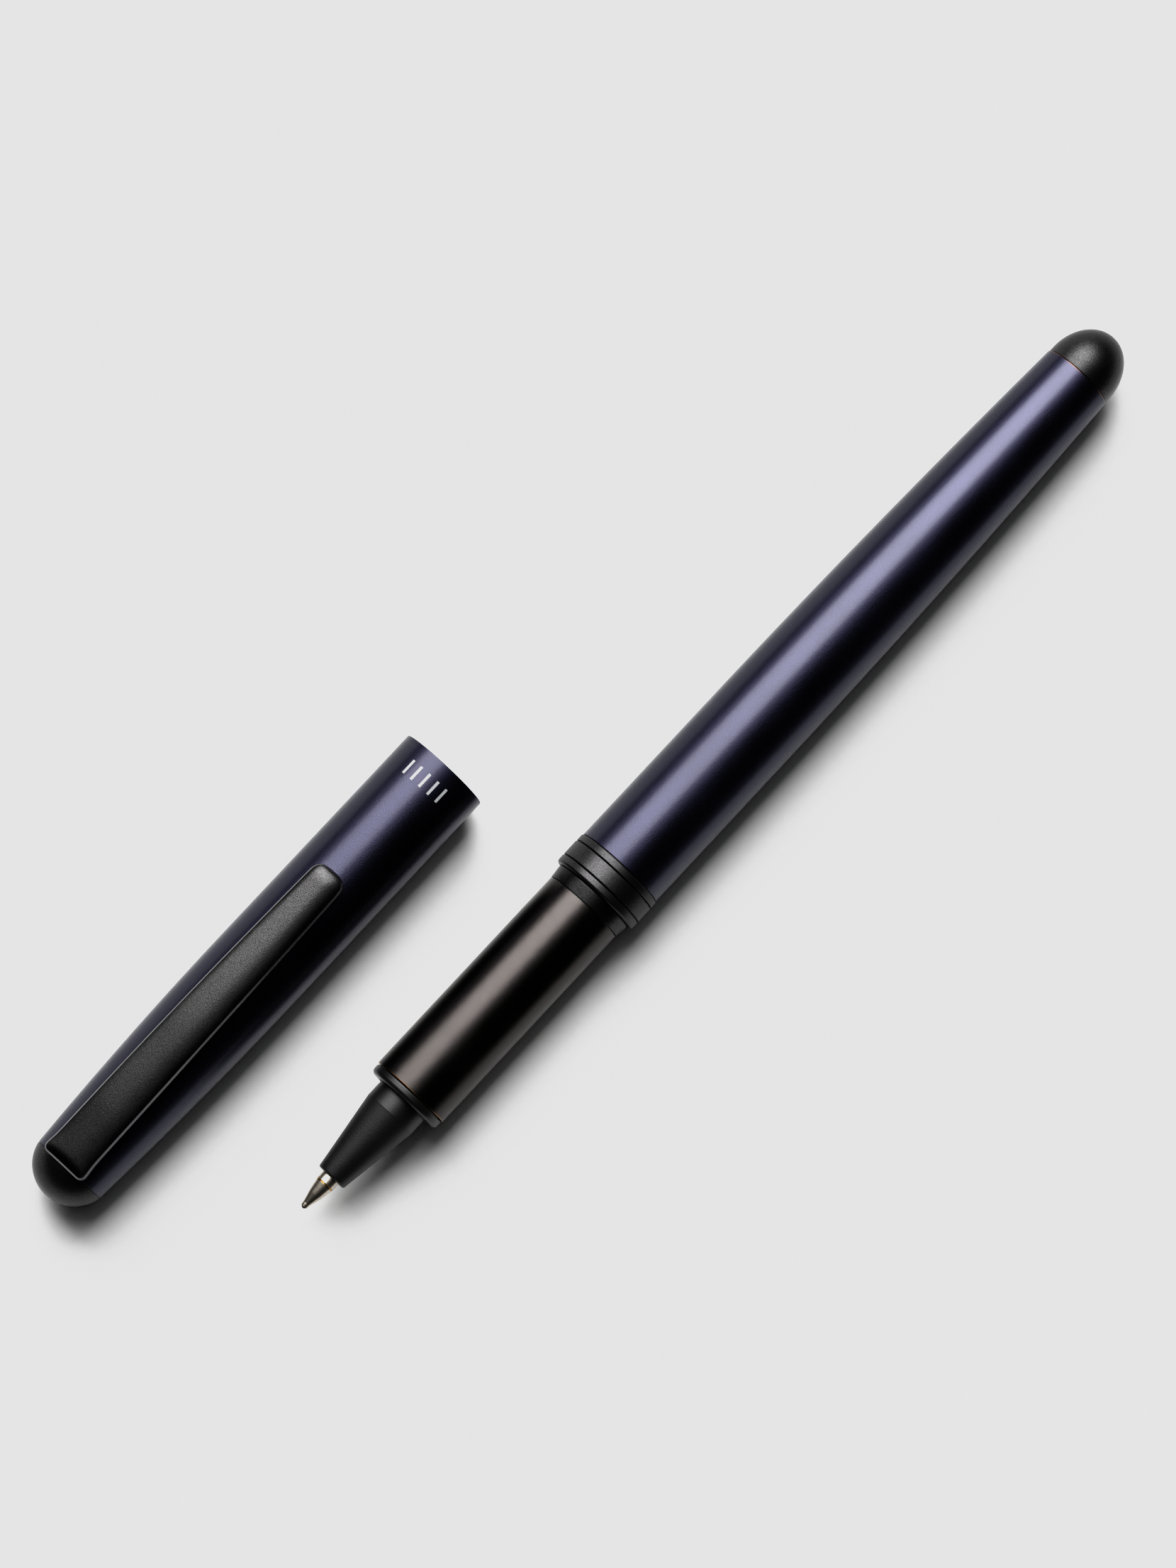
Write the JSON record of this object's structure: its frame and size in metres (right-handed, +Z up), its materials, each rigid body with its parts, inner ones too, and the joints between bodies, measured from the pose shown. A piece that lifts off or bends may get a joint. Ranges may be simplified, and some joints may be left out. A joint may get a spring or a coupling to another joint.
{
  "type": "capped rollerball pen",
  "caption": "Slim metal rollerball pen lying open beside its pull-off cap, with a pocket clip, a stepped collar and a replaceable refill.",
  "frame": {"origin": "centre of the bounding box's underside: the surface that the pen and the cap lie on", "axes": "+X along both axes, from the writing ball to the pen's rear and from the cap's closed end to its mouth; +Y from the pen to the cap; +Z up"},
  "size_m": [0.1404, 0.0304, 0.0117],
  "materials": {
    "navy_anodised": "fine satin anodised, dark navy",
    "graphite_anodised": "satin anodised, near-black graphite",
    "blasted_black": "bead-blasted, matte black, fine grain",
    "matte_black_dome": "matte black, very fine grain",
    "gloss_black": "gloss black with rounded edges",
    "nose_plastic": "moulded, matte black",
    "plug_plastic": "moulded, matte black",
    "seal_plastic": "moulded, dark grey",
    "bright_steel": "bright turned steel",
    "carbide": "polished tungsten carbide",
    "brass": "turned brass",
    "black_rubber": "matte rubber",
    "inked_fibre": "ink-soaked fibre",
    "feed_fibre": "bonded fibre"
  },
  "bodies": {
    "front_section": {"section_core": "brass", "section_sleeve": "graphite_anodised", "section_neck": "blasted_black", "collar_ring_front": "blasted_black", "collar_ring_wide": "blasted_black", "collar_ring_rear": "blasted_black", "front_flange_ring": "gloss_black", "thread_o_ring": "black_rubber"},
    "refill": {"refill_nose": "nose_plastic", "refill_tip": "bright_steel", "feed_rod": "feed_fibre", "refill_tube": "bright_steel", "ink_reservoir": "inked_fibre", "refill_end_plug": "plug_plastic"},
    "writing_ball": {"writing_ball": "carbide"},
    "barrel": {"barrel_tube": "navy_anodised", "barrel_thread_insert": "brass", "barrel_end_dome": "matte_black_dome", "refill_spring": "bright_steel"},
    "cap": {"cap_tube": "navy_anodised", "cap_dome": "matte_black_dome", "cap_seal_cup": "seal_plastic", "clip_screw": "bright_steel", "clip_washer": "bright_steel"},
    "clip": {"cap_clip": "blasted_black"}
  },
  "joints": [
    {"name": "barrel_pull", "type": "slide", "parent": "front_section", "child": "barrel", "axis": [1, 0, 0], "range_m": [0, 0.0636]},
    {"name": "cap_align", "type": "slide", "parent": "barrel", "child": "cap", "axis": [-0.9531, -0.3026, 0.0012], "range_m": [0, 0.06641]},
    {"name": "refill_recoil", "type": "slide", "parent": "front_section", "child": "refill", "axis": [1, 0, 0], "range_m": [0, 0.0008], "stiffness_N_per_m": 400, "springref_m": -0.005, "deforming": ["refill_spring"]},
    {"name": "ball_spin", "type": "hinge", "parent": "refill", "child": "writing_ball", "pos_m": [-0.053, -0.01001, 0.00521], "axis": [0, 1, 0], "continuous": true},
    {"name": "clip_flex", "type": "hinge", "parent": "cap", "child": "clip", "pos_m": [-0.0657, 0.01082, 0.00906], "axis": [0, -0.9833, 0.1822], "range_deg": [0, 3], "stiffness_Nm_per_rad": 0.5, "springref_deg": -2.86}
  ]
}
